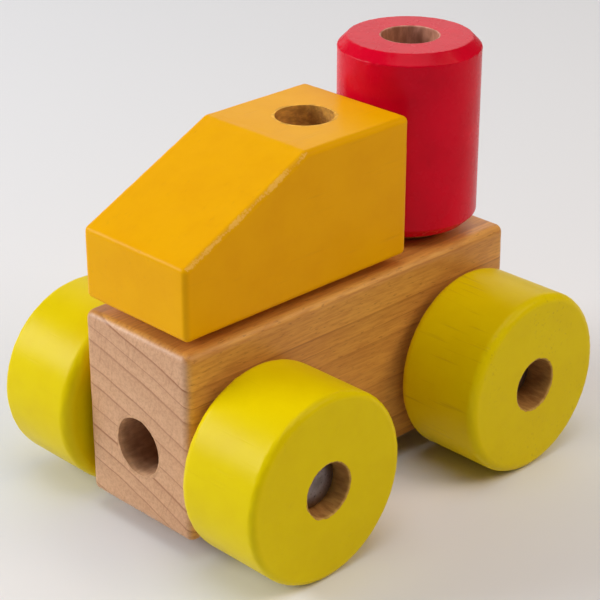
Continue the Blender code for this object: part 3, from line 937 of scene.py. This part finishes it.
def rubbed_and_edge_highlight(points):
    """Pale marks on the cab's paint, 0 to 1: wear, strongest on the left edge of the slope, in a ragged
    band, and faint on every other edge, where the specks are partly wear and partly painted highlight.
    It is a ramp down from the middle of the edge's round."""
    normals, reach = cab_planes
    depth = np.maximum(reach - points @ normals.T, 0)
    ragged = 0.8 + 0.3 * wavy(points, 5 * MM, 61) + 0.25 * wavy(points, 1.5 * MM, 62)
    slope_edge = depth[..., SLOPE] + depth[..., LEFT_SIDE] - ROUND_DEPTH
    band = np.clip(1 - slope_edge / (EDGE_MARK_REACH * np.clip(ragged, 0.3, 1.6)), 0, 1)
    # Faint pale specks along every other edge: partly wear, partly painted highlight.
    edge_highlight_and_wear = np.clip(1 - (edge_gap(points, cab_planes) - ROUND_DEPTH) / EDGE_MARK_REACH, 0, 1)
    return np.clip(band + 0.1 * edge_highlight_and_wear * np.clip(ragged, 0, 1), 0, 1)


grid, outward = block(cab_corners, cab_low[0], cab_high[0], CAB_EDGE)
near_edge = np.clip(1 - edge_gap(grid, cab_planes) / (2.4 * MM), 0, 1)
press = 0.012 * MM * wavy(grid, 8 * MM, 51) + 0.02 * MM * near_edge * wavy(grid, 2 * MM, 52)
press = press - 0.03 * MM * rubbed_and_edge_highlight(grid)
cab = piece("cab", skin(grid + press[..., None] * outward))
cab_mouth = np.array([0.0, 0.0, cab_high[2]])
cab_bore_length = cab_high[2] - cab_low[2] + 2 * MM
drilled(cab, hole(cab_mouth, 2, -1, SOCKET_RADIUS, cab_bore_length, 55, 0.04 * MM))
write_values(cab, "wear_and_edge_highlight", rubbed_and_edge_highlight(vertices_of(cab)))
cab.data.materials.append(
    paint_finish(
        "orange_paint",
        swatch(238, 173, 0),
        swatch(234, 167, 0),
        GRAIN_Y,
        (41 * MM, -20 * MM, 0),
        (cab_mouth, SOCKET_RADIUS, cab_bore_length),
        across=(1, 1, 0),
        tear=0.8 * MM,
        gloss=0.33,
        sheen=0.06,
        lip=swatch(252, 194, 82),
        veins=0.08,
    )
)
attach(cab, "cab")
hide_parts("cab_block")


# ---------------------------------------------------------------------------------------------
# The chimney block. A turned beech cylinder with chamfered ends, in satin red paint that lies a
# little unevenly on the chamfers' edges, and bored through. The bore is bare.
# ---------------------------------------------------------------------------------------------
CHAMFER = 2.0 * MM
chimney_low, chimney_high = span("chimney_block")
stack_radius = (chimney_high[0] - chimney_low[0]) / 2
stack_mouth = np.array([0.0, peg_places[1][1], chimney_high[2]])
bottom, top = chimney_low[2], chimney_high[2]
profile, _ = rounded(
    [
        (bottom, SOCKET_RADIUS),
        (bottom, stack_radius - CHAMFER),
        (bottom + CHAMFER, stack_radius),
        (top - CHAMFER, stack_radius),
        (top, stack_radius - CHAMFER),
        (top, SOCKET_RADIUS),
    ],
    [0.3 * MM, 0.5 * MM, 0.5 * MM, 0.45 * MM, 0.45 * MM, 0.2 * MM],
    0.6 * MM,
    0.12 * MM,
)
axis_foot = (0, stack_mouth[1], 0)
points = turned(profile, 300, axis_foot, 2)
mouth = np.hypot(profile[:, 0] - top, profile[:, 1] - SOCKET_RADIUS)[:, None]
torn = 0.4 + 0.6 * wavy(points, 2.2 * MM, 71) + 0.4 * wavy(points, 0.9 * MM, 72)
torn = np.clip(torn, 0, 1.5)
shoulders = np.minimum(
    np.hypot(profile[:, 0] - top, profile[:, 1] - stack_radius + CHAMFER),
    np.hypot(profile[:, 0] - top + CHAMFER, profile[:, 1] - stack_radius),
)[:, None]
crest = np.exp(-((shoulders / (0.7 * MM)) ** 2))
uneven = 0.05 * MM * np.exp(-mouth / (0.5 * MM)) * torn
ripple = 0.04 * MM * wavy(points, 1.8 * MM, 73) + 0.03 * MM * wavy(points, 0.9 * MM, 74)
uneven = uneven + crest * ripple
uneven = uneven + 0.015 * MM * wavy(points * (1, 1, 0.15), 5 * MM, 75)
points = points + uneven[..., None] * outwards(points, axis_foot, 2)
chimney = piece("chimney", skin(points, ring=True))
write_values(chimney, "wear_and_edge_highlight", np.zeros(uneven.size))
chimney.data.materials.append(
    paint_finish(
        "red_paint",
        swatch(220, 0, 40),
        swatch(208, 0, 36),
        GRAIN_Z,
        (28 * MM, 60 * MM, 0),
        (stack_mouth, SOCKET_RADIUS, top - bottom + 2 * MM),
        across=(1, 1, 0),
        tear=0.4 * MM,
        gloss=0.27,
        sheen=0.1,
        lip=swatch(225, 165, 150),
        veins=0.0,
    )
)
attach(chimney, "chimney")
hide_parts("chimney_block")
